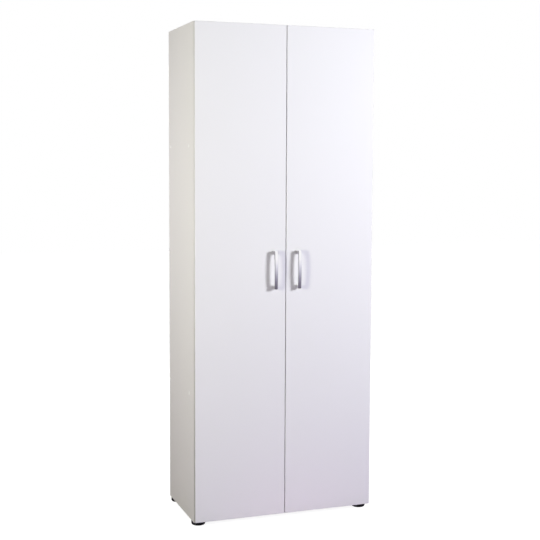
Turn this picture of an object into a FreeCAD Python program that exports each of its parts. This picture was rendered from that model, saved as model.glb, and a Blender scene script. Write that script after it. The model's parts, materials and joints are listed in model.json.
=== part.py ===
import FreeCAD, Part
import math
import os

# Broom cupboard with two doors. Millimetres, +Z up, the front faces -Y, the floor is Z = 0.
# The origin is below the middle of the whole piece, handles included.

# Carcass
cupboard_width = 700.0
carcass_height = 1826.0
carcass_depth = 347.0
board = 18.0
foot_height = 15.0
top_compartment = 415.0
bottom_compartment = 445.0
partition_offset = 0.0
shelf_front_setback = 3.0
shelf_back_setback = 1.5
edge_radius = 0.8

# Back
sheet_thickness = 3.0
sheet_inset = 2.0
sheet_joint_gap = 1.4
strip_web = 1.0
strip_flange_width = 22.0
strip_flange = 1.0
strip_end_gap = 0.5
nail_shank_radius = 0.8
nail_head_radius = 2.6
nail_head_thickness = 0.8
nail_length = 16.0
nail_rows = 9
nail_edge_distance = 9.0
nail_end_distance = 36.0
inner_nail_shares = (0.3, 0.7)

# Doors
door_thickness = 18.0
door_back_gap = 2.0
door_middle_gap = 3.0
door_bottom_reveal = 5.0
door_top_reveal = 1.0
door_edge_radius = 1.2
hinge_end_distance = 172.0
bumper_radius = 4.0
bumper_clearance = 0.3
bumper_round_share = 0.5
bumper_edge_distance = 14.0
bumper_end_distance = 9.0

# Handles
handle_hole_spacing = 128.0
handle_width = 13.0
handle_projection = 27.0
handle_bow = 4.0
handle_band = 4.6
handle_leg = 12.0
handle_leg_flare = 2.0
handle_corner = 3.5
handle_inner_corner = 2.0
handle_outer_edge_radius = 1.8
handle_inner_edge_radius = 0.8
handle_height_on_door = 925.0
handle_from_gap = 46.5
handle_screw_radius = 2.0
handle_screw_depth = 12.0
handle_screw_head_radius = 4.0
handle_screw_head = 2.2
handle_screw_hole_clearance = 0.5

# Feet
foot_radius = 26.0
foot_inset_x = 25.0
foot_inset_y = 27.0
foot_round = 6.0
foot_spigot_radius = 4.0
foot_spigot_length = 11.0

# Screws through the boards, with caps
screw_core_radius = 2.5
screw_length = 50.0
screw_head_radius = 4.75
screw_head_depth = 3.5
cap_radius = 6.0
cap_height = 1.5
cap_round = 0.9
screw_front_distance = 60.0
upper_screw_back_inset = 29.0
lower_screw_back_inset = 17.0
partition_screw_back_inset = 60.0

# Cams, cam bolts and dowels between the sides and the top and bottom
cam_radius = 7.5
cam_depth = 13.0
cam_distance = 34.0
cam_slot = 2.0
cam_slot_length = 11.0
cam_inset = 50.0
bolt_thread_radius = 3.0
bolt_thread_length = 11.0
bolt_shank_radius = 2.5
bolt_bore_radius = 3.5
bolt_head_radius = 3.2
bolt_head_length = 4.0
dowel_radius = 4.0
dowel_length = 30.0
dowel_in_side = 12.0
dowel_chamfer = 1.0
dowel_inset = 92.0

# Adjustable shelves and their pins
adjustable_shelf_count = 2
adjustable_shelf_setback = 22.0
adjustable_shelf_side_gap = 1.0
pin_hole_radius = 2.5
pin_hole_depth = 10.0
pin_hole_pitch = 32.0
pin_front_distance = 70.0
pin_back_inset = 47.0
pin_collar_radius = 4.0
pin_reach = 8.5
pin_flat = 2.0

# Concealed hinge. Plan coordinates start at the outer front corner of the side panel:
# X runs inwards over the side's front edge, Y runs back into the cupboard.
cup_centre = 22.5
cup_outer_radius = 17.5
cup_inner_radius = 16.3
cup_inner_depth = 12.5
cup_floor = 1.0
cup_flange = 1.0
cup_flange_radius = 18.8
cup_ear_reach = 29.0
cup_ear_front = 24.0
cup_ear_back = 40.5
cup_ear_corner = 6.0
cup_screw_offset = 9.5
cup_screw_spread = 22.5
cup_screw_radius = 1.6
cup_screw_length = 11.0
cup_screw_head_radius = 3.4
cup_screw_head = 1.4
arm_pin_outer = (42.9, 24.4)
arm_pin_inner = (33.3, -6.0)
cup_pin_outer = (11.4, -3.4)
cup_pin_inner = (15.8, -8.4)
outer_link_bend = (28.2, -7.2)
inner_link_bend = (27.1, -11.6)
slot_start = (15.34, -10.95)
slot_end = (16.19, -8.54)
pin_radius = 1.5
pin_running_fit = 0.05
slot_clearance = 0.5
slot_wall = 1.2
pin_end_cover = 0.4
eye_radius = 3.0
link_half_width = 2.3
inner_link_half_height = 3.5
arm_cheek_start = 3.8
arm_cheek = 1.5
outer_link_start = 5.6
outer_link = 1.5
arm_under = 26.0
arm_over = 46.5
arm_back = 62.0
arm_web = 1.5
arm_web_front = 29.0
plate_wing = 3.0
plate_wing_reach = 25.0
plate_wing_half_width = 8.0
plate_wing_corner = 5.6
plate_front = 22.0
plate_half_height = 6.5
plate_screw_distance = 37.0
plate_screw_spread = 16.0
plate_screw_radius = 2.5
plate_screw_depth = 11.0
plate_screw_head_radius = 4.5
plate_screw_head = 2.0
plate_screw_head_recess = 1.5
arm_screw_distance = 47.0
adjusting_screw_distance = 36.0
arm_screw_radius = 2.0
arm_screw_head_radius = 3.2
arm_screw_head = 2.2
arm_screw_length = 24.0

# Derived positions
half_width = cupboard_width / 2
inner_half = half_width - board
overall_depth = (handle_projection + door_thickness + door_back_gap + carcass_depth
                 + sheet_thickness + strip_flange)
handle_front_y = -overall_depth / 2
door_front_y = handle_front_y + handle_projection
door_back_y = door_front_y + door_thickness
front_y = door_back_y + door_back_gap
back_y = front_y + carcass_depth
sheet_back_y = back_y + sheet_thickness
bottom_z = foot_height
top_z = foot_height + carcass_height
bottom_panel_top = bottom_z + board
top_panel_under = top_z - board
upper_shelf_top = top_panel_under - top_compartment
upper_shelf_under = upper_shelf_top - board
upper_shelf_middle = upper_shelf_top - board / 2
lower_shelf_under = bottom_panel_top + bottom_compartment
lower_shelf_top = lower_shelf_under + board
lower_shelf_middle = lower_shelf_top - board / 2
partition_left = partition_offset - board / 2
partition_right = partition_offset + board / 2
door_bottom = bottom_z + door_bottom_reveal
door_top = top_z - door_top_reveal
handle_middle = door_bottom + handle_height_on_door
door_middle = (door_bottom + door_top) / 2
hinge_heights = (door_bottom + hinge_end_distance, door_middle, door_top - hinge_end_distance)
shelf_run = upper_shelf_under - lower_shelf_top
shelf_space = (shelf_run - adjustable_shelf_count * board) / (adjustable_shelf_count + 1)
shelf_unders = [lower_shelf_top + shelf_space + step * (shelf_space + board)
                for step in range(adjustable_shelf_count)]
upper_screw_distances = (screw_front_distance, carcass_depth - upper_screw_back_inset)
lower_screw_distances = (screw_front_distance, carcass_depth - lower_screw_back_inset)
partition_screw_distances = (screw_front_distance, carcass_depth - partition_screw_back_inset)
cam_distances = (cam_inset, carcass_depth - cam_inset)
dowel_distances = (dowel_inset, carcass_depth - dowel_inset)
pin_distances = (pin_front_distance, carcass_depth - pin_back_inset)


def vec(x, y, z):
    return FreeCAD.Vector(x, y, z)


along_x = vec(1, 0, 0)
along_y = vec(0, 1, 0)
along_z = vec(0, 0, 1)
same_place = 0.01
parallel_share = 0.99


def block(x0, x1, y0, y1, z0, z1):
    return Part.makeBox(x1 - x0, y1 - y0, z1 - z0, vec(x0, y0, z0))


def rod(radius, start, direction, length):
    return Part.makeCylinder(radius, length, start, direction)


def fuse_all(shapes):
    joined = shapes[0]
    for shape in shapes[1:]:
        joined = joined.fuse(shape)
    return joined.removeSplitter()


def cut_all(shape, cutters):
    return shape.cut(Part.makeCompound(cutters)) if cutters else shape


def behind(distance):
    return front_y + distance


def mirrored(shape):
    return shape.mirror(vec(0, 0, 0), along_x)


def save(name, shape):
    shape.exportStep("parts/" + name + ".step")


def near(point, other):
    return (point - other).Length < same_place


def runs_along(edge, direction):
    return abs(edge.tangentAt(edge.FirstParameter).dot(direction)) > parallel_share


def softened(shape, radius, chosen):
    edges = [edge for edge in shape.Edges if chosen(edge)]
    return shape.makeFillet(radius, edges)


# Screws that hold the fixed shelves and the partition

def board_screw(start, direction):
    head = Part.makeCone(screw_head_radius, screw_core_radius, screw_head_depth, start, direction)
    core = rod(screw_core_radius, start, direction, screw_length)
    return head.fuse(core)


def screw_cap(start, outward):
    plain = rod(cap_radius, start, outward, cap_height)
    rim = start + outward * cap_height
    return softened(plain, cap_round, lambda edge: near(edge.CenterOfMass, rim))


def shelf_screw_places():
    places = []
    for distance in upper_screw_distances:
        places.append((vec(-half_width, behind(distance), upper_shelf_middle), along_x))
        places.append((vec(half_width, behind(distance), upper_shelf_middle), -along_x))
    for distance in lower_screw_distances:
        places.append((vec(-half_width, behind(distance), lower_shelf_middle), along_x))
        places.append((vec(partition_right, behind(distance), lower_shelf_middle), -along_x))
    for distance in partition_screw_distances:
        places.append((vec(partition_offset, behind(distance), upper_shelf_top), -along_z))
    return places


def hidden_screw_places():
    return [(vec(partition_offset, behind(distance), bottom_z), along_z)
            for distance in partition_screw_distances]


def make_board_screws():
    return [board_screw(*place) for place in shelf_screw_places() + hidden_screw_places()]


def make_caps():
    return [screw_cap(start, direction * -1) for start, direction in shelf_screw_places()]


# Cam fittings and dowels at the ends of the top and bottom panels

def fitting_places(distances):
    places = []
    for panel_under in (bottom_z, top_panel_under):
        for distance in distances:
            places.append((behind(distance), panel_under))
    return places


def both_ends(shapes):
    return shapes + [mirrored(shape) for shape in shapes]


def cam_places():
    return fitting_places(cam_distances)


def cam_seats():
    cam_x = cam_distance - inner_half
    return both_ends([rod(cam_radius, vec(cam_x, y, z), along_z, cam_depth) for y, z in cam_places()])


def bolt_bores():
    reach = cam_distance + bolt_head_length
    return both_ends([rod(bolt_bore_radius, vec(-inner_half, y, z + board / 2), along_x, reach)
                      for y, z in cam_places()])


def bolt_threads():
    starts = [vec(-inner_half, y, z + board / 2) for y, z in cam_places()]
    return both_ends([rod(bolt_thread_radius, start, -along_x, bolt_thread_length) for start in starts])


def make_cam_discs():
    cam_x = cam_distance - inner_half
    discs = []
    for y, z in cam_places():
        disc = rod(cam_radius, vec(cam_x, y, z), along_z, cam_depth)
        reach = cam_slot_length / 2
        slot = block(cam_x - reach, cam_x + reach, y - cam_slot / 2, y + cam_slot / 2, z, z + cam_slot)
        bore_length = cam_distance + bolt_head_length
        bore = rod(bolt_bore_radius, vec(-inner_half, y, z + board / 2), along_x, bore_length)
        discs.append(disc.cut(slot).cut(bore))
    return both_ends(discs)


def make_cam_bolts():
    bolts = []
    shank_length = cam_distance - bolt_head_length / 2
    for y, z in cam_places():
        start = vec(-inner_half, y, z + board / 2)
        thread = rod(bolt_thread_radius, start, -along_x, bolt_thread_length)
        shank = rod(bolt_shank_radius, start, along_x, shank_length)
        head = rod(bolt_head_radius, start + along_x * shank_length, along_x, bolt_head_length)
        bolts.append(fuse_all([thread, shank, head]))
    return both_ends(bolts)


def dowel_blanks():
    start_x = -inner_half - dowel_in_side
    starts = [vec(start_x, y, z + board / 2) for y, z in fitting_places(dowel_distances)]
    return both_ends([rod(dowel_radius, start, along_x, dowel_length) for start in starts])


def make_dowels():
    dowels = []
    for blank in dowel_blanks():
        rims = [edge for edge in blank.Edges if not runs_along(edge, along_x)]
        dowels.append(blank.makeChamfer(dowel_chamfer, rims))
    return dowels


# Adjustable shelves and the pins they rest on

def pin_places():
    places = []
    for under in shelf_unders:
        for distance in pin_distances:
            places.append((behind(distance), under - pin_flat))
    return places


def pin_holes(face_x, direction):
    holes = []
    for y, z in pin_places():
        for step in (-1, 0, 1):
            start = vec(face_x, y, z + step * pin_hole_pitch)
            holes.append(rod(pin_hole_radius, start, direction, pin_hole_depth))
    return holes


def shelf_pin(face_x, y, z, outward):
    start = vec(face_x, y, z)
    shaft = rod(pin_hole_radius, start, outward * -1, pin_hole_depth)
    seat = rod(pin_collar_radius, start, outward, pin_reach)
    spare = pin_collar_radius * 2
    above = block(face_x - spare, face_x + spare, y - spare, y + spare, z + pin_flat, z + spare)
    above.translate(outward * spare)
    return shaft.fuse(seat.cut(above)).removeSplitter()


def make_shelf_pins():
    pins = []
    for y, z in pin_places():
        pins.append(shelf_pin(-inner_half, y, z, along_x))
        pins.append(shelf_pin(partition_left, y, z, -along_x))
    return pins


def make_adjustable_shelf(under):
    gap = adjustable_shelf_side_gap
    return block(-inner_half + gap, partition_left - gap, behind(adjustable_shelf_setback),
                 back_y - shelf_back_setback, under, under + board)


# Feet

def make_foot(x, y):
    disc = rod(foot_radius, vec(x, y, 0), along_z, foot_height)
    disc = softened(disc, foot_round, lambda edge: abs(edge.CenterOfMass.z) < same_place)
    spigot = rod(foot_spigot_radius, vec(x, y, foot_height), along_z, foot_spigot_length)
    return disc.fuse(spigot)


def make_feet():
    feet_x = half_width - foot_inset_x
    feet_y = (front_y + foot_inset_y, back_y - foot_inset_y)
    return [make_foot(x, y) for x in (-feet_x, feet_x) for y in feet_y]


# Back sheets, their joint strip and nails

def make_sheet(x0, x1):
    return block(x0, x1, back_y, sheet_back_y, bottom_z + sheet_inset, top_z - sheet_inset)


def make_strip():
    low = bottom_panel_top + strip_end_gap
    high = top_panel_under - strip_end_gap
    front = back_y - strip_flange
    back = sheet_back_y + strip_flange
    half = strip_flange_width / 2
    web = block(-strip_web / 2, strip_web / 2, front, back, low, high)
    outer = block(-half, half, sheet_back_y, back, low, high)
    inner = block(-half, half, front, back_y, low, high)
    return fuse_all([web, outer, inner])


def nail_places():
    places = []
    outer_x = half_width - nail_edge_distance
    low = bottom_z + nail_end_distance
    high = top_z - nail_end_distance
    for row in range(nail_rows):
        z = low + (high - low) * row / (nail_rows - 1)
        places += [(-outer_x, z), (outer_x, z)]
    for z in (bottom_z + board / 2, upper_shelf_middle, top_z - board / 2):
        for share in inner_nail_shares:
            places += [(-inner_half * share, z), (inner_half * share, z)]
    return places


def make_nail(x, z):
    start = vec(x, sheet_back_y, z)
    head = rod(nail_head_radius, start, along_y, nail_head_thickness)
    shank = rod(nail_shank_radius, start, -along_y, nail_length)
    return head.fuse(shank)


def make_nails():
    return [make_nail(x, z) for x, z in nail_places()]


# Handles

def bow_edges(crest, foot, end):
    tip = crest - handle_bow
    soles = [vec(0, 0, side * foot) for side in (-1, 1)]
    corners = [vec(0, -tip, side * end) for side in (-1, 1)]
    bow = Part.Arc(corners[0], vec(0, -crest, 0), corners[1]).toShape()
    return [Part.makeLine(sole, corner) for sole, corner in zip(soles, corners)] + [bow]


def handle_outline():
    leg = handle_hole_spacing / 2
    outer_foot = leg + handle_leg / 2
    inner_foot = leg - handle_leg / 2
    edges = bow_edges(handle_projection, outer_foot, outer_foot + handle_leg_flare)
    edges += bow_edges(handle_projection - handle_band, inner_foot, inner_foot + handle_leg_flare)
    edges += [Part.makeLine(vec(0, 0, side * outer_foot), vec(0, 0, side * inner_foot)) for side in (-1, 1)]
    return Part.Wire(Part.__sortEdges__(edges))


def make_handle(x):
    bar = Part.Face(handle_outline()).extrude(along_x * handle_width)
    bar.translate(vec(-handle_width / 2, 0, 0))
    outer_tip = handle_projection - handle_bow

    def at_corner(tip):
        return lambda edge: runs_along(edge, along_x) and abs(edge.CenterOfMass.y + tip) < same_place

    def on_flank(edge):
        middle = edge.CenterOfMass
        return abs(abs(middle.x) - handle_width / 2) < same_place and middle.y < -same_place

    def is_outer(edge):
        middle = edge.CenterOfMass
        return middle.y < -outer_tip or abs(middle.z) > handle_hole_spacing / 2

    bar = softened(bar, handle_corner, at_corner(outer_tip))
    bar = softened(bar, handle_inner_corner, at_corner(outer_tip - handle_band))
    bar = softened(bar, handle_outer_edge_radius, lambda edge: on_flank(edge) and is_outer(edge))
    bar = softened(bar, handle_inner_edge_radius, lambda edge: on_flank(edge) and not is_outer(edge))
    bar.translate(vec(x, door_front_y, handle_middle))
    return cut_all(bar, handle_screw_shanks(x, handle_screw_radius))


def handle_screw_heights():
    return [handle_middle + side * handle_hole_spacing / 2 for side in (-1, 1)]


def handle_screw_shanks(x, radius):
    length = door_thickness + handle_screw_depth
    return [rod(radius, vec(x, door_back_y, z), -along_y, length) for z in handle_screw_heights()]


def make_handle_screws(x):
    screws = []
    for shank, z in zip(handle_screw_shanks(x, handle_screw_radius), handle_screw_heights()):
        head = rod(handle_screw_head_radius, vec(x, door_back_y, z), along_y, handle_screw_head)
        screws.append(shank.fuse(head))
    return screws


# Concealed hinge, in plan coordinates at the height z

def plan(point, z):
    return vec(-half_width + point[0], front_y + point[1], z)


def pin(point, z0, z1, radius):
    return rod(radius, plan(point, z0), along_z, z1 - z0)


def bar_between(start, end, radius, z0, z1):
    a = plan(start, z0)
    b = plan(end, z0)
    direction = (b - a).normalize()
    side = vec(-direction.y, direction.x, 0) * radius
    tip = direction * radius
    edges = [
        Part.LineSegment(a + side, b + side), Part.Arc(b + side, b + tip, b - side),
        Part.LineSegment(b - side, a - side), Part.Arc(a - side, a - tip, a + side),
    ]
    return Part.Face(Part.Wire([edge.toShape() for edge in edges])).extrude(along_z * (z1 - z0))


def levels(z, start, thickness):
    return [(z + start, z + start + thickness), (z - start - thickness, z - start)]


def make_cup(z):
    face = -door_back_gap
    centre = plan((cup_centre, face), z)
    shell = rod(cup_outer_radius, centre, -along_y, cup_inner_depth + cup_floor)
    ring = rod(cup_flange_radius, centre, along_y, cup_flange)
    ear = block(centre.x - cup_centre + cup_ear_front, centre.x - cup_centre + cup_ear_back, centre.y,
                centre.y + cup_flange, z - cup_ear_reach, z + cup_ear_reach)
    ear = softened(ear, cup_ear_corner, lambda edge: runs_along(edge, along_y))
    hollow = rod(cup_inner_radius, centre + along_y * cup_flange, -along_y, cup_inner_depth + cup_flange)
    cup = fuse_all([shell, ring, ear]).cut(hollow)
    return cut_all(cup, make_cup_pins(z) + cup_screw_shanks(z))


def cup_seat(z):
    centre = plan((cup_centre, -door_back_gap), z)
    return rod(cup_outer_radius, centre, -along_y, cup_inner_depth + cup_floor)


def cup_screw_shanks(z):
    x = cup_centre + cup_screw_offset
    y = cup_flange - door_back_gap
    return [rod(cup_screw_radius, plan((x, y), z + side * cup_screw_spread), -along_y, cup_screw_length)
            for side in (-1, 1)]


def make_cup_screws(z):
    x = cup_centre + cup_screw_offset
    y = cup_flange - door_back_gap
    screws = []
    for shank, side in zip(cup_screw_shanks(z), (-1, 1)):
        head = rod(cup_screw_head_radius, plan((x, y), z + side * cup_screw_spread), along_y, cup_screw_head)
        screws.append(shank.fuse(head))
    return screws


def make_cup_pins(z):
    within = rod(cup_outer_radius - pin_end_cover, plan((cup_centre, 0), z), -along_y, cup_inner_depth)
    reach = cup_outer_radius
    pins = [pin(cup_pin_outer, z0, z1, pin_radius)
            for z0, z1 in levels(z, outer_link_start, reach - outer_link_start)]
    pins.append(pin(cup_pin_inner, z - reach, z + reach, pin_radius))
    return [shape.common(within) for shape in pins]


def make_outer_links(z):
    links = []
    for z0, z1 in levels(z, outer_link_start, outer_link):
        bars = [
            bar_between(cup_pin_outer, outer_link_bend, link_half_width, z0, z1),
            bar_between(outer_link_bend, arm_pin_outer, link_half_width, z0, z1),
            pin(cup_pin_outer, z0, z1, eye_radius),
            pin(arm_pin_outer, z0, z1, eye_radius),
        ]
        bores = [pin(spot, z0, z1, pin_radius + pin_running_fit) for spot in (cup_pin_outer, arm_pin_outer)]
        links.append(cut_all(fuse_all(bars), bores))
    return links


def make_inner_link(z):
    z0 = z - inner_link_half_height
    z1 = z + inner_link_half_height
    slot_radius = pin_radius + slot_clearance
    slot_middle = tuple((a + b) / 2 for a, b in zip(slot_start, slot_end))
    bars = [
        bar_between(slot_start, slot_end, slot_radius + slot_wall, z0, z1),
        bar_between(slot_middle, inner_link_bend, link_half_width, z0, z1),
        bar_between(inner_link_bend, arm_pin_inner, link_half_width, z0, z1),
        pin(arm_pin_inner, z0, z1, eye_radius),
    ]
    bores = [
        bar_between(slot_start, slot_end, slot_radius, z0, z1),
        pin(arm_pin_inner, z0, z1, pin_radius + pin_running_fit),
    ]
    return cut_all(fuse_all(bars), bores)


def make_arm_pins(z):
    through = arm_cheek_start + arm_cheek
    pins = [pin(arm_pin_inner, z - through, z + through, pin_radius)]
    length = outer_link_start + outer_link - arm_cheek_start
    pins += [pin(arm_pin_outer, z0, z1, pin_radius) for z0, z1 in levels(z, arm_cheek_start, length)]
    return pins


def arm_screw_shank(z):
    return rod(arm_screw_radius, plan((arm_over, arm_screw_distance), z), -along_x, arm_screw_length)


def adjusting_screw(z):
    start = plan((arm_over, adjusting_screw_distance), z)
    return rod(arm_screw_radius, start, -along_x, arm_over - arm_under)


def make_arm_screws(z):
    head = rod(arm_screw_head_radius, plan((arm_over, arm_screw_distance), z), along_x, arm_screw_head)
    return [arm_screw_shank(z).fuse(head), adjusting_screw(z)]


def arm_screw_slot(z):
    low = plan((arm_over - arm_web, arm_screw_distance), z)
    high = plan((arm_over, arm_back), z)
    return block(low.x, high.x, low.y, high.y, z - arm_screw_radius, z + arm_screw_radius)


def arm_nose_web(z0, z1):
    run = [a - b for a, b in zip(arm_pin_outer, arm_pin_inner)]
    length = math.hypot(*run)
    ahead = [step / length for step in run]
    inset = eye_radius - arm_web / 2
    shift = (ahead[1] * inset, -ahead[0] * inset)
    start = tuple(b + a * (eye_radius + arm_web) + s for a, b, s in zip(ahead, arm_pin_inner, shift))
    end = tuple(a + s for a, s in zip(arm_pin_outer, shift))
    return bar_between(start, end, arm_web / 2, z0, z1)


def make_arm(z):
    low = plan((arm_under, arm_pin_outer[1]), z)
    high = plan((arm_over, arm_back), z)
    outer = arm_cheek_start + arm_cheek
    pieces = []
    for z0, z1 in levels(z, arm_cheek_start, arm_cheek):
        pieces.append(block(low.x, high.x, low.y, high.y, z0, z1))
        pieces.append(bar_between(arm_pin_outer, arm_pin_inner, eye_radius, z0, z1))
    web_front = plan((arm_over - arm_web, arm_web_front), z)
    pieces.append(block(web_front.x, high.x, web_front.y, high.y, z - outer, z + outer))
    pieces.append(arm_nose_web(z - outer, z + outer))
    screws = [arm_screw_shank(z), arm_screw_slot(z), adjusting_screw(z)]
    return cut_all(fuse_all(pieces), make_arm_pins(z) + screws)


def plate_screw_shanks(z):
    start_x = board + plate_wing - plate_screw_head_recess
    length = plate_screw_depth + start_x - board
    return [rod(plate_screw_radius, plan((start_x, plate_screw_distance), z + side * plate_screw_spread),
                -along_x, length) for side in (-1, 1)]


def plate_screw_heads(z):
    start_x = board + plate_wing - plate_screw_head_recess
    return [rod(plate_screw_head_radius, plan((start_x, plate_screw_distance), z + side * plate_screw_spread),
                along_x, plate_screw_head) for side in (-1, 1)]


def make_plate_screws(z):
    return [shank.fuse(head) for shank, head in zip(plate_screw_shanks(z), plate_screw_heads(z))]


def make_plate(z):
    wing_low = plan((board, plate_screw_distance - plate_wing_half_width), z)
    wing_high = plan((board + plate_wing, plate_screw_distance + plate_wing_half_width), z)
    wing = block(wing_low.x, wing_high.x, wing_low.y, wing_high.y,
                 z - plate_wing_reach, z + plate_wing_reach)
    wing = softened(wing, plate_wing_corner, lambda edge: runs_along(edge, along_x))
    ridge_low = plan((board, plate_front), z)
    ridge_high = plan((arm_under, arm_back), z)
    ridge = block(ridge_low.x, ridge_high.x, ridge_low.y, ridge_high.y,
                  z - plate_half_height, z + plate_half_height)
    screws = plate_screw_shanks(z) + plate_screw_heads(z) + [arm_screw_shank(z)]
    return cut_all(fuse_all([wing, ridge]), screws)


def at_each_hinge(make):
    shapes = []
    for z in hinge_heights:
        made = make(z)
        shapes += made if isinstance(made, list) else [made]
    return shapes


# Boards

def make_side():
    side = block(-half_width, -inner_half, front_y, back_y, bottom_z, top_z)
    side = softened(side, edge_radius, lambda edge: abs(edge.CenterOfMass.x + half_width) < same_place)
    return cut_all(side, at_each_hinge(plate_screw_shanks) + bolt_threads() + dowel_blanks())


def make_top_or_bottom(z0):
    panel = block(-inner_half, inner_half, front_y, back_y, z0, z0 + board)
    return cut_all(panel, cam_seats() + bolt_bores() + dowel_blanks())


def make_fixed_shelf(x0, x1, under):
    return block(x0, x1, behind(shelf_front_setback), back_y - shelf_back_setback, under, under + board)


def make_partition():
    return block(partition_left, partition_right, behind(shelf_front_setback), back_y - shelf_back_setback,
                 bottom_panel_top, upper_shelf_under)


def make_door():
    door = block(-half_width, -door_middle_gap / 2, door_front_y, door_back_y, door_bottom, door_top)
    door = softened(door, door_edge_radius, lambda edge: True)
    cutters = at_each_hinge(cup_seat) + at_each_hinge(cup_screw_shanks)
    cutters += handle_screw_shanks(-handle_from_gap, handle_screw_radius + handle_screw_hole_clearance)
    return cut_all(door, cutters)


def make_bumpers():
    thickness = door_back_gap - bumper_clearance
    x = -door_middle_gap / 2 - bumper_edge_distance
    bumpers = []
    for z in (door_bottom + bumper_end_distance, door_top - bumper_end_distance):
        disc = rod(bumper_radius, vec(x, door_back_y, z), along_y, thickness)
        rim_y = door_back_y + thickness
        rounding = thickness * bumper_round_share
        bumpers.append(softened(disc, rounding, lambda edge: abs(edge.CenterOfMass.y - rim_y) < same_place))
    return bumpers


def group(shapes):
    return Part.makeCompound(shapes)


def make_carcass():
    screws = make_board_screws()
    nails = make_nails()
    feet = make_feet()
    side_left = cut_all(make_side(), screws + nails + pin_holes(-inner_half, -along_x))
    side_right = cut_all(mirrored(make_side()), screws + nails)
    upper_shelf = make_fixed_shelf(-inner_half, inner_half, upper_shelf_under)
    lower_shelf = make_fixed_shelf(-inner_half, partition_left, lower_shelf_under)
    joint = sheet_joint_gap / 2
    return {
        "side_left": side_left,
        "side_right": side_right,
        "top_panel": cut_all(make_top_or_bottom(top_panel_under), nails),
        "bottom_panel": cut_all(make_top_or_bottom(bottom_z), screws + nails + feet),
        "upper_shelf": cut_all(upper_shelf, screws + nails),
        "lower_shelf": cut_all(lower_shelf, screws),
        "partition": cut_all(make_partition(), screws + pin_holes(partition_left, along_x)),
        "adjustable_shelf_lower": make_adjustable_shelf(shelf_unders[0]),
        "adjustable_shelf_upper": make_adjustable_shelf(shelf_unders[1]),
        "back_sheet_left": cut_all(make_sheet(-half_width + sheet_inset, -joint), nails),
        "back_sheet_right": cut_all(make_sheet(joint, half_width - sheet_inset), nails),
        "back_strip": make_strip(),
        "back_nails": group(nails),
        "board_screws": group(screws),
        "screw_caps": group(make_caps()),
        "cam_discs": group(make_cam_discs()),
        "cam_bolts": group(make_cam_bolts()),
        "dowels": group(make_dowels()),
        "shelf_pins": group(make_shelf_pins()),
        "feet": group(feet),
    }


def make_left_door():
    x = -handle_from_gap
    return {
        "door": make_door(),
        "handle": make_handle(x),
        "handle_screws": group(make_handle_screws(x)),
        "door_bumpers": group(make_bumpers()),
        "hinge_cups": group(at_each_hinge(make_cup)),
        "hinge_cup_screws": group(at_each_hinge(make_cup_screws)),
        "hinge_cup_pins": group(at_each_hinge(make_cup_pins)),
        "hinge_outer_links": group(at_each_hinge(make_outer_links)),
        "hinge_inner_links": group(at_each_hinge(make_inner_link)),
        "hinge_arms": group(at_each_hinge(make_arm)),
        "hinge_arm_pins": group(at_each_hinge(make_arm_pins)),
        "hinge_arm_screws": group(at_each_hinge(make_arm_screws)),
        "hinge_plates": group(at_each_hinge(make_plate)),
        "hinge_plate_screws": group(at_each_hinge(make_plate_screws)),
    }


os.makedirs("parts", exist_ok=True)
for name, shape in make_carcass().items():
    save(name, shape)
for name, shape in make_left_door().items():
    save(name + "_left", shape)
    save(name + "_right", mirrored(shape))
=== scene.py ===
import json
import math
import bpy
import bmesh
from mathutils import Matrix, Vector


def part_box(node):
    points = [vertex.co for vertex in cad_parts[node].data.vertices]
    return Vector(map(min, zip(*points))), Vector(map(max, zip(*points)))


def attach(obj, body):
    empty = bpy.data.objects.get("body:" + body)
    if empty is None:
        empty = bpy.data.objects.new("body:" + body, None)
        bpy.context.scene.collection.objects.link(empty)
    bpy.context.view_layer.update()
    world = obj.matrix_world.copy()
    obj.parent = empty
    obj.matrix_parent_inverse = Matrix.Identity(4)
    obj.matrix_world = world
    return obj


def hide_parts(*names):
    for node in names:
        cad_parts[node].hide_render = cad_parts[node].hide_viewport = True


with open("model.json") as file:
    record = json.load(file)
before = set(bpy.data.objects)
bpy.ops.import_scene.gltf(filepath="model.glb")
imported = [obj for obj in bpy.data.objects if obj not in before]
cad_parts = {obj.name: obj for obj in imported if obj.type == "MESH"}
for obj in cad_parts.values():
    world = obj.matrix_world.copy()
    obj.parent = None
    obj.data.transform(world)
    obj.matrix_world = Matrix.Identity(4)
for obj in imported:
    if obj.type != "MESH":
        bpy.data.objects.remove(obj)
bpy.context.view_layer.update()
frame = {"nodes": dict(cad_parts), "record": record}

scene = bpy.context.scene
nodes = frame["nodes"]
slotOf = {row["node"]: row["material_slot"] for row in frame["record"]["subparts"]}


# camera, solved from the corners of the cupboard in the photo

cameraLook = {
    "place": (-1.3977, -3.8708, 1.3377),
    "yaw": 19.840,           # degrees to the right of straight ahead
    "pitch": 4.374,          # degrees down
    "roll": 0.230,
    "focalPixels": 1070.3,
    "axisRow": 245.0,        # image row of the optical axis
    "imagePixels": 540,
    "sensor": 36.0,          # millimetres
    "nearest": 0.05,
    "furthest": 60,
}


def makeCamera(look):
    data = bpy.data.cameras.new("photoCamera")
    data.sensor_width = look["sensor"]
    data.lens = look["sensor"] * look["focalPixels"] / look["imagePixels"]
    data.shift_y = (look["axisRow"] - look["imagePixels"] / 2) / look["imagePixels"]
    data.clip_start = look["nearest"]
    data.clip_end = look["furthest"]
    camera = bpy.data.objects.new("photoCamera", data)
    turn = Matrix.Rotation(math.radians(-look["yaw"]), 4, "Z")
    tilt = Matrix.Rotation(math.radians(90 - look["pitch"]), 4, "X")
    roll = Matrix.Rotation(math.radians(look["roll"]), 4, "Z")
    camera.matrix_world = Matrix.Translation(look["place"]) @ turn @ tilt @ roll
    scene.collection.objects.link(camera)
    scene.camera = camera


makeCamera(cameraLook)
scene.view_settings.view_transform = "Standard"
print("camera placed")


# shader maths as plain expressions

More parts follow.
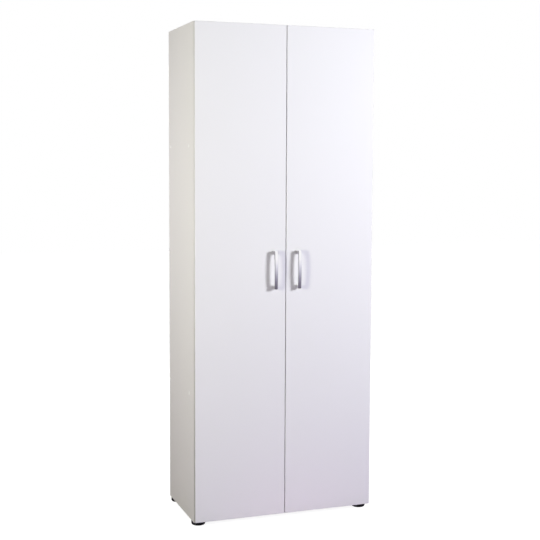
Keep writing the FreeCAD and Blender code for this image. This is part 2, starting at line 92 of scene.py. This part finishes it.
class Val:
    def __init__(self, finish, socket):
        self.finish = finish
        self.socket = socket

    def maths(self, operation, first, second):
        return self.finish.add("ShaderNodeMath", {"operation": operation}, {0: first, 1: second})

    def __add__(self, other):
        return self.maths("ADD", self, other)

    def __radd__(self, other):
        return self.maths("ADD", other, self)

    def __sub__(self, other):
        return self.maths("SUBTRACT", self, other)

    def __rsub__(self, other):
        return self.maths("SUBTRACT", other, self)

    def __mul__(self, other):
        return self.maths("MULTIPLY", self, other)

    def __rmul__(self, other):
        return self.maths("MULTIPLY", other, self)

    def __gt__(self, other):
        return self.maths("GREATER_THAN", self, other)

    def __lt__(self, other):
        return self.maths("LESS_THAN", self, other)

    def __abs__(self):
        return self.finish.add("ShaderNodeMath", {"operation": "ABSOLUTE"}, {0: self})

    def sine(self):
        return self.finish.add("ShaderNodeMath", {"operation": "SINE"}, {0: self})

    def orMore(self, other):           # the larger of the two
        return self.maths("MAXIMUM", self, other)

    def between(self, low, high):      # 0 below low, 1 above high, smooth in the middle
        return self.finish.add("ShaderNodeMapRange", {"interpolation_type": "SMOOTHSTEP"},
                               {"Value": self, "From Min": low, "From Max": high})


class Finish:
    def __init__(self, tree):
        self.tree = tree
        self.tree.nodes.clear()

    def add(self, kind, settings=None, values=None, out=0):
        node = self.tree.nodes.new(kind)
        for name, value in (settings or {}).items():
            if name == "stops":
                ramp = node.color_ramp
                while len(ramp.elements) < len(value):
                    ramp.elements.new(1)
                for element, (position, colour) in zip(ramp.elements, value):
                    element.position = position
                    element.color = colour
            else:
                setattr(node, name, value)
        for name, value in (values or {}).items():
            if isinstance(value, Val):
                self.tree.links.new(value.socket, node.inputs[name])
            else:
                node.inputs[name].default_value = value
        return Val(self, node.outputs[out]) if node.outputs else None

    def place(self):
        return self.add("ShaderNodeTexCoord", out="Object")

    def axes(self, vector):
        node = self.add("ShaderNodeSeparateXYZ", values={0: vector}).socket.node
        return [Val(self, socket) for socket in node.outputs]

    def backward(self):                # 1 on a face that looks to the back, -1 on one that looks forwards
        return self.axes(self.add("ShaderNodeTexCoord", out="Normal"))[1]

    def stretched(self, factors):
        return self.add("ShaderNodeVectorMath", {"operation": "MULTIPLY"}, {0: self.place(), 1: factors})

    def noise(self, scale, detail, vector=None):
        return self.add("ShaderNodeTexNoise", None,
                        {"Vector": vector or self.place(), "Scale": scale, "Detail": detail})

    def blend(self, share, first, second):
        return self.add("ShaderNodeMix", {"data_type": "RGBA"}, {0: share, 6: first, 7: second}, out=2)

    def bump(self, height, distance, strength):
        return self.add("ShaderNodeBump", None,
                        {"Height": height, "Distance": distance, "Strength": strength})

    def surface(self, values):
        shader = self.add("ShaderNodeBsdfPrincipled", None, values)
        self.add("ShaderNodeOutputMaterial", None, {"Surface": shader})


def rgb(red, green, blue):
    return (red, green, blue, 1.0)


def newFinish(name):
    material = bpy.data.materials.new(name)
    material.use_nodes = True
    return material, Finish(material.node_tree)


# finishes, where each noise is given by its scale and detail

doorLook = {
    "white": rgb(0.815, 0.810, 0.853),
    "cloud": rgb(0.797, 0.792, 0.836),
    "cloudNoise": (3.0, 3.0),
    "band": rgb(0.80, 0.795, 0.815),      # edge band
    "faceTurn": (0.55, 0.9),              # from band to face, over the rounded edge
    "paintedJointShade": rgb(0.50, 0.495, 0.49),       # painted shade of the joint on the hinge edges, darker towards the floor
    "jointShadeLeast": 0.28,
    "jointShadeRise": (0.0, 1.2),               # heights at which the painted shade is most and least
    "hingeEdge": 0.0025,                  # how far in from the hinge side the edge reaches
    "peelNoise": (850.0, 2.0),            # orange peel of the pressed foil
    "peelHeight": 0.00003,
    "peelStrength": 0.35,
    "smudgeNoise": (14.0, 4.0),
    "roughness": 0.33,
    "roughChange": 0.08,
}


def doorFinish(look):
    material, f = newFinish("doorMelamine")
    x, _, z = f.axes(f.place())
    peel = f.noise(*look["peelNoise"])
    smudge = f.noise(*look["smudgeNoise"])
    white = f.blend(f.noise(*look["cloudNoise"]), look["white"], look["cloud"])
    hingeEdge = abs(x) > abs(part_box("door_left")[0].x) - look["hingeEdge"]
    # painted shade of the joint along the hinge edge, darker towards the floor
    paintedJointShade = 1 - (1 - look["jointShadeLeast"]) * z.between(*look["jointShadeRise"])
    band = f.blend(hingeEdge * paintedJointShade, look["band"], look["paintedJointShade"])
    face = abs(f.backward()).between(*look["faceTurn"])
    f.surface({
        "Base Color": f.blend(face, band, white),
        "Roughness": look["roughness"] + look["roughChange"] * smudge,
        "Normal": f.bump(peel, look["peelHeight"], look["peelStrength"]),
    })
    return material


carcassLook = {
    "white": rgb(0.817, 0.806, 0.822),
    "cloud": rgb(0.795, 0.784, 0.800),
    "cloudNoise": (4.0, 3.0),
    "chip": rgb(0.50, 0.36, 0.22),
    "chipDark": rgb(0.30, 0.19, 0.10),
    "flakeScale": 420.0,
    "flakeStretch": (1.0, 1.0, 0.45),
    "chipRoughness": 0.35,                # added to that of the faces
    "backTurn": (0.5, 0.8),               # the back edges have no band, so the chipboard shows
    "skin": 0.0009,                       # deeper than this, a drilled hole shows the chipboard
    "pearlNoise": (1100.0, 2.0),          # fine pearl texture of the pressing plate
    "pearlHeight": 0.00004,
    "pearlStrength": 0.4,
    "roughness": 0.46,
    "roughChange": 0.10,
}


def drilledBoards(f, skin):               # 1 inside the sides and the partition, 0 on their faces
    x, y, z = f.axes(f.place())
    side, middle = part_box("side_left"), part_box("partition")
    inSide = (abs(x) > abs(side[1].x) + skin) * (abs(x) < abs(side[0].x) - skin)
    inSide = inSide * (y > side[0].y + skin) * (z > side[0].z + skin) * (z < side[1].z - skin)
    inMiddle = (abs(x) < middle[1].x - skin) * (y > middle[0].y + skin)
    return inSide + inMiddle * (z > middle[0].z + skin) * (z < middle[1].z - skin)


def carcassFinish(look):
    material, f = newFinish("carcassMelamine")
    pearl = f.noise(*look["pearlNoise"])
    flakes = f.add("ShaderNodeTexVoronoi", None,
                   {"Vector": f.stretched(look["flakeStretch"]), "Scale": look["flakeScale"]}, out="Color")
    flakeShade = f.axes(flakes)[0]
    raw = f.backward().between(*look["backTurn"]).orMore(drilledBoards(f, look["skin"]))
    chip = f.blend(flakeShade, look["chip"], look["chipDark"])
    white = f.blend(f.noise(*look["cloudNoise"]), look["white"], look["cloud"])
    f.surface({
        "Base Color": f.blend(raw, white, chip),
        "Roughness": look["roughness"] + look["roughChange"] * pearl + look["chipRoughness"] * raw,
        "Normal": f.bump(pearl, look["pearlHeight"], look["pearlStrength"]),
    })
    return material


sheetLook = {
    "lacquer": rgb(0.77, 0.76, 0.735),
    "fibre": rgb(0.36, 0.235, 0.13),
    "fibreDark": rgb(0.20, 0.12, 0.06),
    "fibreNoise": (260.0, 6.0),
    "fibreStretch": (1.0, 1.0, 0.6),
    "fibreRelief": 0.4,
    "cloudNoise": (6.0, 4.0),
    "cloudShade": 0.25,
    "screenPitch": 0.0016,                # screen marks on the rough side
    "screenShade": 0.35,
    "roughTurn": (-0.6, -0.3),            # the smooth side faces forwards
    "roughness": 0.5,
    "roughChange": 0.35,
    "reliefHeight": 0.0002,
    "reliefStrength": 0.6,
}


def sheetFinish(look):
    material, f = newFinish("backHardboard")
    x, _, z = f.axes(f.place())
    rough = f.backward().between(*look["roughTurn"])
    turns = 2 * math.pi / look["screenPitch"]
    screen = (x * turns).sine() * (z * turns).sine() * 0.5 + 0.5      # 0 to 1
    fibres = f.noise(*look["fibreNoise"], f.stretched(look["fibreStretch"]))
    cloud = f.noise(*look["cloudNoise"])
    brown = f.blend(fibres, look["fibre"], look["fibreDark"])
    shade = screen * look["screenShade"] + cloud * look["cloudShade"]
    brown = f.blend(shade, brown, look["fibreDark"])
    relief = screen * rough + fibres * look["fibreRelief"]
    f.surface({
        "Base Color": f.blend(rough, look["lacquer"], brown),
        "Roughness": look["roughness"] + look["roughChange"] * rough,
        "Normal": f.bump(relief, look["reliefHeight"], look["reliefStrength"]),
    })
    return material


dowelLook = {
    "beech": rgb(0.62, 0.44, 0.27),
    "beechDark": rgb(0.45, 0.29, 0.16),
    "grainNoise": (1.0, 4.0),
    "grainStretch": (60.0, 900.0, 900.0),
    "grainHeight": 0.0001,
    "grainStrength": 0.5,
    "roughness": 0.55,
    "roughChange": 0.2,
}


def dowelFinish(look):
    material, f = newFinish("beechDowel")
    grain = f.noise(*look["grainNoise"], f.stretched(look["grainStretch"]))
    f.surface({
        "Base Color": f.blend(grain, look["beech"], look["beechDark"]),
        "Roughness": look["roughness"] + look["roughChange"] * grain,
        "Normal": f.bump(grain, look["grainHeight"], look["grainStrength"]),
    })
    return material


plasticLook = {"cloudNoise": (30.0, 3.0), "grainDetail": 3.0, "grainStrength": 0.5, "roughChange": 0.10}
plastics = {
    "joint_strip": {"name": "stripPlastic", "colour": rgb(0.76, 0.75, 0.72), "shade": rgb(0.72, 0.71, 0.68),
                    "roughness": 0.40, "grainScale": 300.0, "grainHeight": 0.00002},
    "screw_cap": {"name": "capPlastic", "colour": rgb(0.89, 0.89, 0.92), "shade": rgb(0.86, 0.86, 0.89),
                  "roughness": 0.30, "grainScale": 900.0, "grainHeight": 0.00002},
    "foot_plastic": {"name": "footPlastic", "colour": rgb(0.010, 0.010, 0.011),
                     "shade": rgb(0.018, 0.018, 0.019),
                     "roughness": 0.22, "grainScale": 1200.0, "grainHeight": 0.00002},
    "bumper": {"name": "bumperRubber", "colour": rgb(0.62, 0.62, 0.61), "shade": rgb(0.56, 0.56, 0.55),
               "roughness": 0.42, "grainScale": 500.0, "grainHeight": 0.00003},
}


def plasticFinish(look, kind):
    material, f = newFinish(kind["name"])
    grain = f.noise(kind["grainScale"], look["grainDetail"])
    f.surface({
        "Base Color": f.blend(f.noise(*look["cloudNoise"]), kind["colour"], kind["shade"]),
        "Roughness": kind["roughness"] + look["roughChange"] * grain,
        "Normal": f.bump(grain, kind["grainHeight"], look["grainStrength"]),
    })
    return material


metalLook = {"cloudNoise": (60.0, 4.0), "lineNoise": (1.0, 3.0), "lineStrength": 0.4, "roughChange": 0.12}
metals = {
    "handle_metal": {"name": "handleChrome", "colour": rgb(0.95, 0.945, 0.96),
                     "shade": rgb(0.92, 0.915, 0.93),
                     "roughness": 0.06, "lineStretch": (40.0, 40.0, 900.0), "lineHeight": 0.000002},
    "hinge_nickel": {"name": "hingeNickel", "colour": rgb(0.74, 0.71, 0.66), "shade": rgb(0.68, 0.65, 0.60),
                     "roughness": 0.20, "lineStretch": (700.0, 700.0, 90.0), "lineHeight": 0.000003},
    "zinc_steel": {"name": "zincSteel", "colour": rgb(0.66, 0.67, 0.69), "shade": rgb(0.57, 0.58, 0.61),
                   "roughness": 0.30, "lineStretch": (600.0, 600.0, 600.0), "lineHeight": 0.000006},
    "cam_metal": {"name": "castZinc", "colour": rgb(0.56, 0.56, 0.57), "shade": rgb(0.44, 0.44, 0.46),
                  "roughness": 0.48, "lineStretch": (900.0, 900.0, 900.0), "lineHeight": 0.00003},
}


def metalFinish(look, kind):
    material, f = newFinish(kind["name"])
    lines = f.noise(*look["lineNoise"], f.stretched(kind["lineStretch"]))
    f.surface({
        "Base Color": f.blend(f.noise(*look["cloudNoise"]), kind["colour"], kind["shade"]),
        "Metallic": 1.0,
        "Roughness": kind["roughness"] + look["roughChange"] * lines,
        "Normal": f.bump(lines, kind["lineHeight"], look["lineStrength"]),
    })
    return material


finishes = {
    "door_board": doorFinish(doorLook),
    "carcass_board": carcassFinish(carcassLook),
    "back_sheet": sheetFinish(sheetLook),
    "dowel_wood": dowelFinish(dowelLook),
}
for slot, kind in plastics.items():
    finishes[slot] = plasticFinish(plasticLook, kind)
for slot, kind in metals.items():
    finishes[slot] = metalFinish(metalLook, kind)
for name, piece in nodes.items():
    piece.data.materials.clear()
    piece.data.materials.append(finishes[slotOf[name]])
print("finishes:", len(finishes))


# cross-recess screws with threads take the place of the plain ones

screwLook = {
    "headedFrom": 1.2,           # a head is wider than this share of the shank
    "recessArm": 0.62,           # shares of the head's radius
    "recessHalfWidth": 0.15,
    "recessFloor": 0.55,         # the recess narrows towards its floor
    "crownRings": (0.78, 0.94),
    "flatRing": 0.80,            # on a screw with no head
    "domeShare": 0.45,           # how much of the head's height is domed
    "rimShare": 0.1,             # how much of it rounds the rim
    "chamfer": 0.2,              # shares of the shank's radius
    "threadDepth": 0.20,
    "pointTaper": 0.85,
    "ringsPerTurn": 3,
    "sharpDegrees": 35,
}
screwSets = {
    "handle_screws": {"body": "door", "outward": (0, 1, 0), "shank": 0.0020, "head": 0.0022,
                      "recess": 0.0015, "pitch": 0.0007, "point": 0.04},
    "hinge_cup_screws": {"body": "door", "outward": (0, 1, 0), "shank": 0.0016, "head": 0.0014,
                         "recess": 0.0011, "pitch": 0.0014, "point": 0.35},
    "hinge_plate_screws": {"body": "carcass", "outward": (1, 0, 0), "shank": 0.0025, "head": 0.0020,
                           "recess": 0.0015, "pitch": 0.0018, "point": 0.14},
    "hinge_arm_screws": {"body": "carcass", "outward": (1, 0, 0), "shank": 0.0020, "head": 0.0022,
                         "recess": 0.0014, "pitch": 0.0010, "point": 0.06},
}
sameSpotDigits = 6
nearNothing = 1e-9


def looseBoxes(name):                    # the box of each separate solid in a node
    mesh = nodes[name].data
    spots = [tuple(round(step, sameSpotDigits) for step in vertex.co) for vertex in mesh.vertices]
    home = {spot: spot for spot in spots}

    def root(spot):
        while home[spot] != spot:
            home[spot] = home[home[spot]]
            spot = home[spot]
        return spot

    for polygon in mesh.polygons:
        first = spots[polygon.vertices[0]]
        for corner in polygon.vertices[1:]:
            home[root(spots[corner])] = root(first)
    solids = {}
    for spot in spots:
        solids.setdefault(root(spot), []).append(spot)
    return [(Vector(map(min, zip(*members))), Vector(map(max, zip(*members))))
            for members in solids.values()]


def recessReach(angle, arm, half):       # from the axis to the outline of the cross
    across = abs(math.cos(angle)) + nearNothing
    up = abs(math.sin(angle)) + nearNothing
    return max(min(arm / across, half / up), min(half / across, arm / up))


def recessAngles(look):
    corner = math.atan2(look["recessHalfWidth"], look["recessArm"])
    eighth = math.pi / 4
    steps = [0.0, corner, (corner + eighth) / 2, eighth, (3 * eighth - corner) / 2, 2 * eighth - corner]
    return [step + 2 * eighth * turn for turn in range(4) for step in steps]


def screwRings(look, kind, angles, headRadius, length):      # radius and height of each point, ring by ring
    arm, half = look["recessArm"] * headRadius, look["recessHalfWidth"] * headRadius
    reaches = [recessReach(angle, arm, half) for angle in angles]
    shank = kind["shank"]
    headed = headRadius > look["headedFrom"] * shank
    under = kind["head"] if headed else look["chamfer"] * shank      # one with no head has a chamfer
    dome = look["domeShare"] * under if headed else 0.0

    def crown(radius):
        return -dome * (radius / headRadius) ** 2

    rings = [[(look["recessFloor"] * reach, -kind["recess"]) for reach in reaches],
             [(reach, crown(reach)) for reach in reaches]]
    for share in look["crownRings"] if headed else (look["flatRing"],):
        rings.append([(share * headRadius, crown(share * headRadius))] * len(angles))
    if headed:
        rings.append([(headRadius, crown(headRadius) - look["rimShare"] * under)] * len(angles))
        rings.append([(headRadius, -under)] * len(angles))
    rings.append([(shank, -under)] * len(angles))
    return rings + threadRings(look, kind, angles, under, length - under)


def threadRings(look, kind, angles, start, length):
    turns = length / kind["pitch"]
    count = int(turns * look["ringsPerTurn"])
    rings = []
    for row in range(1, count + 1):
        run = row / count
        taper = 1 - look["pointTaper"] * max(0.0, (run - 1 + kind["point"]) / kind["point"])
        ring = []
        for angle in angles:
            phase = (run * turns + angle / (2 * math.pi)) % 1.0
            groove = look["threadDepth"] * abs(2 * phase - 1)
            ring.append((kind["shank"] * taper * (1 - groove), -start - run * length))
        rings.append(ring)
    return rings


def addScrew(build, look, kind, low, high, outward):
    middle = (low + high) / 2
    size = high - low
    length = abs(size.dot(outward))
    headRadius = max(size - length * Vector(map(abs, outward))) / 2
    aimed = outward.to_track_quat("Z", "Y").to_matrix().to_4x4()
    turned = Matrix.Translation(middle + outward * length / 2) @ aimed
    angles = recessAngles(look)

    def corner(angle, radius, height):
        return build.verts.new(turned @ Vector((radius * math.cos(angle), radius * math.sin(angle), height)))

    rings = [[corner(angle, *point) for angle, point in zip(angles, ring)]
             for ring in screwRings(look, kind, angles, headRadius, length)]
    for height, ring in ((-kind["recess"], rings[0]), (-length, rings[-1])):
        centre = build.verts.new(turned @ Vector((0, 0, height)))
        for here, there in zip(ring, ring[1:] + ring[:1]):
            build.faces.new((centre, here, there))
    for inner, outer in zip(rings, rings[1:]):
        for step in range(len(angles)):
            after = (step + 1) % len(angles)
            build.faces.new((inner[step], outer[step], outer[after], inner[after]))


def makeScrews(name, kind, side):
    node = name + "_" + side
    outward = Vector(kind["outward"])
    if side == "right":
        outward.x = -outward.x
    build = bmesh.new()
    for low, high in looseBoxes(node):
        addScrew(build, screwLook, kind, low, high, outward)
    bmesh.ops.recalc_face_normals(build, faces=build.faces)
    mesh = bpy.data.meshes.new(node + ".threaded")
    build.to_mesh(mesh)
    build.free()
    mesh.shade_smooth()
    mesh.set_sharp_from_angle(angle=math.radians(screwLook["sharpDegrees"]))
    mesh.materials.append(finishes[slotOf[node]])
    piece = bpy.data.objects.new(node + ".threaded", mesh)
    scene.collection.objects.link(piece)
    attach(piece, "carcass" if kind["body"] == "carcass" else kind["body"] + "_" + side)
    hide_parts(node)


for name, kind in screwSets.items():
    for side in ("left", "right"):
        makeScrews(name, kind, side)
print("screw sets:", 2 * len(screwSets))


# studio: pale floor, white background, soft lamps

pureWhite = rgb(1, 1, 1)
floorLook = {
    "half": 12.0,
    "bounceFront": rgb(0.28, 0.22, 0.38),     # what the floor gives back to the cupboard
    "bouncePatch": rgb(0.56, 0.36, 0.62),     # painted pool of bounced light, paler close to the doors
    "bounceBeside": rgb(0.22, 0.17, 0.23),    # painted shade in the bounce, darker beside and behind the cupboard
    "patchCentre": (0.06, -0.30, 0.0),
    "patchFade": (0.08, 0.46),
    "besideFade": (-0.25, -0.10),
    "paper": rgb(0.30, 0.30, 0.30),           # what the lamps add for the camera, so the shadow shows
    "lift": rgb(0.93, 0.93, 0.93),
    "liftFade": (1.0, 2.2),                   # further off, the floor is as white as the background
}


def floorFinish(look):
    material, f = newFinish("floorPaper")
    seen = f.add("ShaderNodeLightPath", out="Is Camera Ray")
    through = f.add("ShaderNodeLightPath", out="Is Transmission Ray")
    back = f.axes(f.place())[1]
    # painted pool of bounced light close to the doors, painted shade in the bounce beside and behind
    patch = f.add("ShaderNodeVectorMath", {"operation": "DISTANCE"},
                  {0: f.place(), 1: look["patchCentre"]}, out="Value")
    given = f.blend(patch.between(*look["patchFade"]), look["bouncePatch"], look["bounceFront"])
    given = f.blend(back.between(*look["besideFade"]), given, look["bounceBeside"])
    bounce = f.add("ShaderNodeBsdfDiffuse", None, {"Color": given})
    paper = f.add("ShaderNodeBsdfDiffuse", None, {"Color": look["paper"]})
    away = f.add("ShaderNodeVectorMath", {"operation": "LENGTH"}, {0: f.place()}, out="Value")
    lift = f.blend(away.between(*look["liftFade"]), look["lift"], pureWhite)
    glow = f.add("ShaderNodeEmission", None, {"Color": lift, "Strength": 1.0})
    pale = f.add("ShaderNodeAddShader", None, {0: paper, 1: glow})
    both = f.add("ShaderNodeMixShader", None, {0: seen + through, 1: bounce, 2: pale})
    f.add("ShaderNodeOutputMaterial", None, {"Surface": both})
    return material


def makeFloor(look):
    half = look["half"]
    corners = [(-half, -half, 0), (half, -half, 0), (half, half, 0), (-half, half, 0)]
    mesh = bpy.data.meshes.new("studioFloor")
    mesh.from_pydata(corners, [], [(0, 1, 2, 3)])
    mesh.materials.append(floorFinish(look))
    floor = bpy.data.objects.new("studioFloor", mesh)
    scene.collection.objects.link(floor)
    floor.visible_glossy = False       # the metal mirrors the wall instead


wallLook = {
    "ambientLevel": 0.05,
    "stops": [                         # the far end of the studio, which the metal mirrors, dark below
        (0.10, rgb(0.135, 0.125, 0.155)),
        (0.20, rgb(0.165, 0.15, 0.185)),
        (0.31, rgb(0.22, 0.205, 0.265)),
        (0.50, rgb(0.45, 0.435, 0.53)),
        (0.70, rgb(0.80, 0.79, 0.87)),
        (0.85, pureWhite),
    ],
    "stopsPerHeight": 2,
    "stopsAtEye": 0.8,
    "leftEnd": rgb(0.12, 0.11, 0.14),  # the studio is darker on the left
    "leftFade": (-0.35, 0.25),         # where it turns pale, left to right
    "straightBelow": 0.5,              # diffuse bounces, so that the metal throws no spots on the doors
}


def makeWorld(look):
    world = bpy.data.worlds.new("studioWorld")
    world.use_nodes = True
    scene.world = world
    f = Finish(world.node_tree)
    seen = f.add("ShaderNodeLightPath", out="Is Camera Ray")
    straight = f.add("ShaderNodeLightPath", out="Diffuse Depth") < look["straightBelow"]
    mirrored = f.add("ShaderNodeLightPath", out="Is Glossy Ray") * straight
    through = f.add("ShaderNodeLightPath", out="Is Transmission Ray")
    across, _, height = f.axes(f.add("ShaderNodeTexCoord", out="Generated"))
    wall = f.add("ShaderNodeValToRGB", {"stops": look["stops"]},
                 {"Fac": height * look["stopsPerHeight"] + look["stopsAtEye"]})
    wall = f.blend(across.between(*look["leftFade"]), look["leftEnd"], wall)
    soft = f.add("ShaderNodeBackground", None, {"Color": pureWhite, "Strength": look["ambientLevel"]})
    plain = f.add("ShaderNodeBackground", None, {"Color": pureWhite, "Strength": 1.0})
    shiny = f.add("ShaderNodeBackground", None, {"Color": wall, "Strength": 1.0})
    unseen = f.add("ShaderNodeMixShader", None, {0: mirrored, 1: soft, 2: shiny})
    both = f.add("ShaderNodeMixShader", None, {0: seen + through, 1: unseen, 2: plain})
    f.add("ShaderNodeOutputWorld", None, {"Surface": both})


lamps = {
    "keyRight": {"place": (1.80, -2.05, 1.68), "aim": (-1.40, -0.17, 1.66), "size": (0.62, 0.60),
                 "watts": 70.6, "colour": (0.968, 0.985, 0.985)},
    "fillLeft": {"place": (-2.29, -1.52, 1.25), "aim": (-0.20, -0.10, 1.15), "size": (0.4, 0.5),
                 "watts": 31.0, "colour": (0.98, 1.0, 0.68)},
    "sideLeft": {"place": (-1.80, 0.10, 1.34), "aim": (-0.35, 0.00, 1.30), "size": (0.8, 0.8),
                 "watts": 12.2, "colour": (0.96, 0.93, 0.97)},
    "backHigh": {"place": (0.45, 1.90, 3.10), "aim": (0.05, 0.20, 1.20), "size": (1.2, 1.2),
                 "watts": 82.0, "colour": (1.0, 0.98, 0.96)},
    "front": {"place": (-1.15, -3.40, 1.65), "aim": (0.05, -0.17, 1.30), "size": (0.6, 0.5),
              "watts": 17.7, "colour": (0.80, 0.78, 1.0)},
}


def makeLamp(name, lamp):
    data = bpy.data.lights.new(name, "AREA")
    data.shape = "RECTANGLE"
    data.size, data.size_y = lamp["size"]
    data.energy = lamp["watts"]
    data.color = lamp["colour"]
    light = bpy.data.objects.new(name, data)
    light.location = lamp["place"]
    light.visible_glossy = False       # the pale wall stands for the lamps in the gloss
    toward = Vector(lamp["aim"]) - Vector(lamp["place"])
    light.rotation_mode = "QUATERNION"
    light.rotation_quaternion = toward.to_track_quat("-Z", "Y")
    scene.collection.objects.link(light)


makeFloor(floorLook)
makeWorld(wallLook)
for name, lamp in lamps.items():
    makeLamp(name, lamp)
print("studio lit by", len(lamps), "lamps")
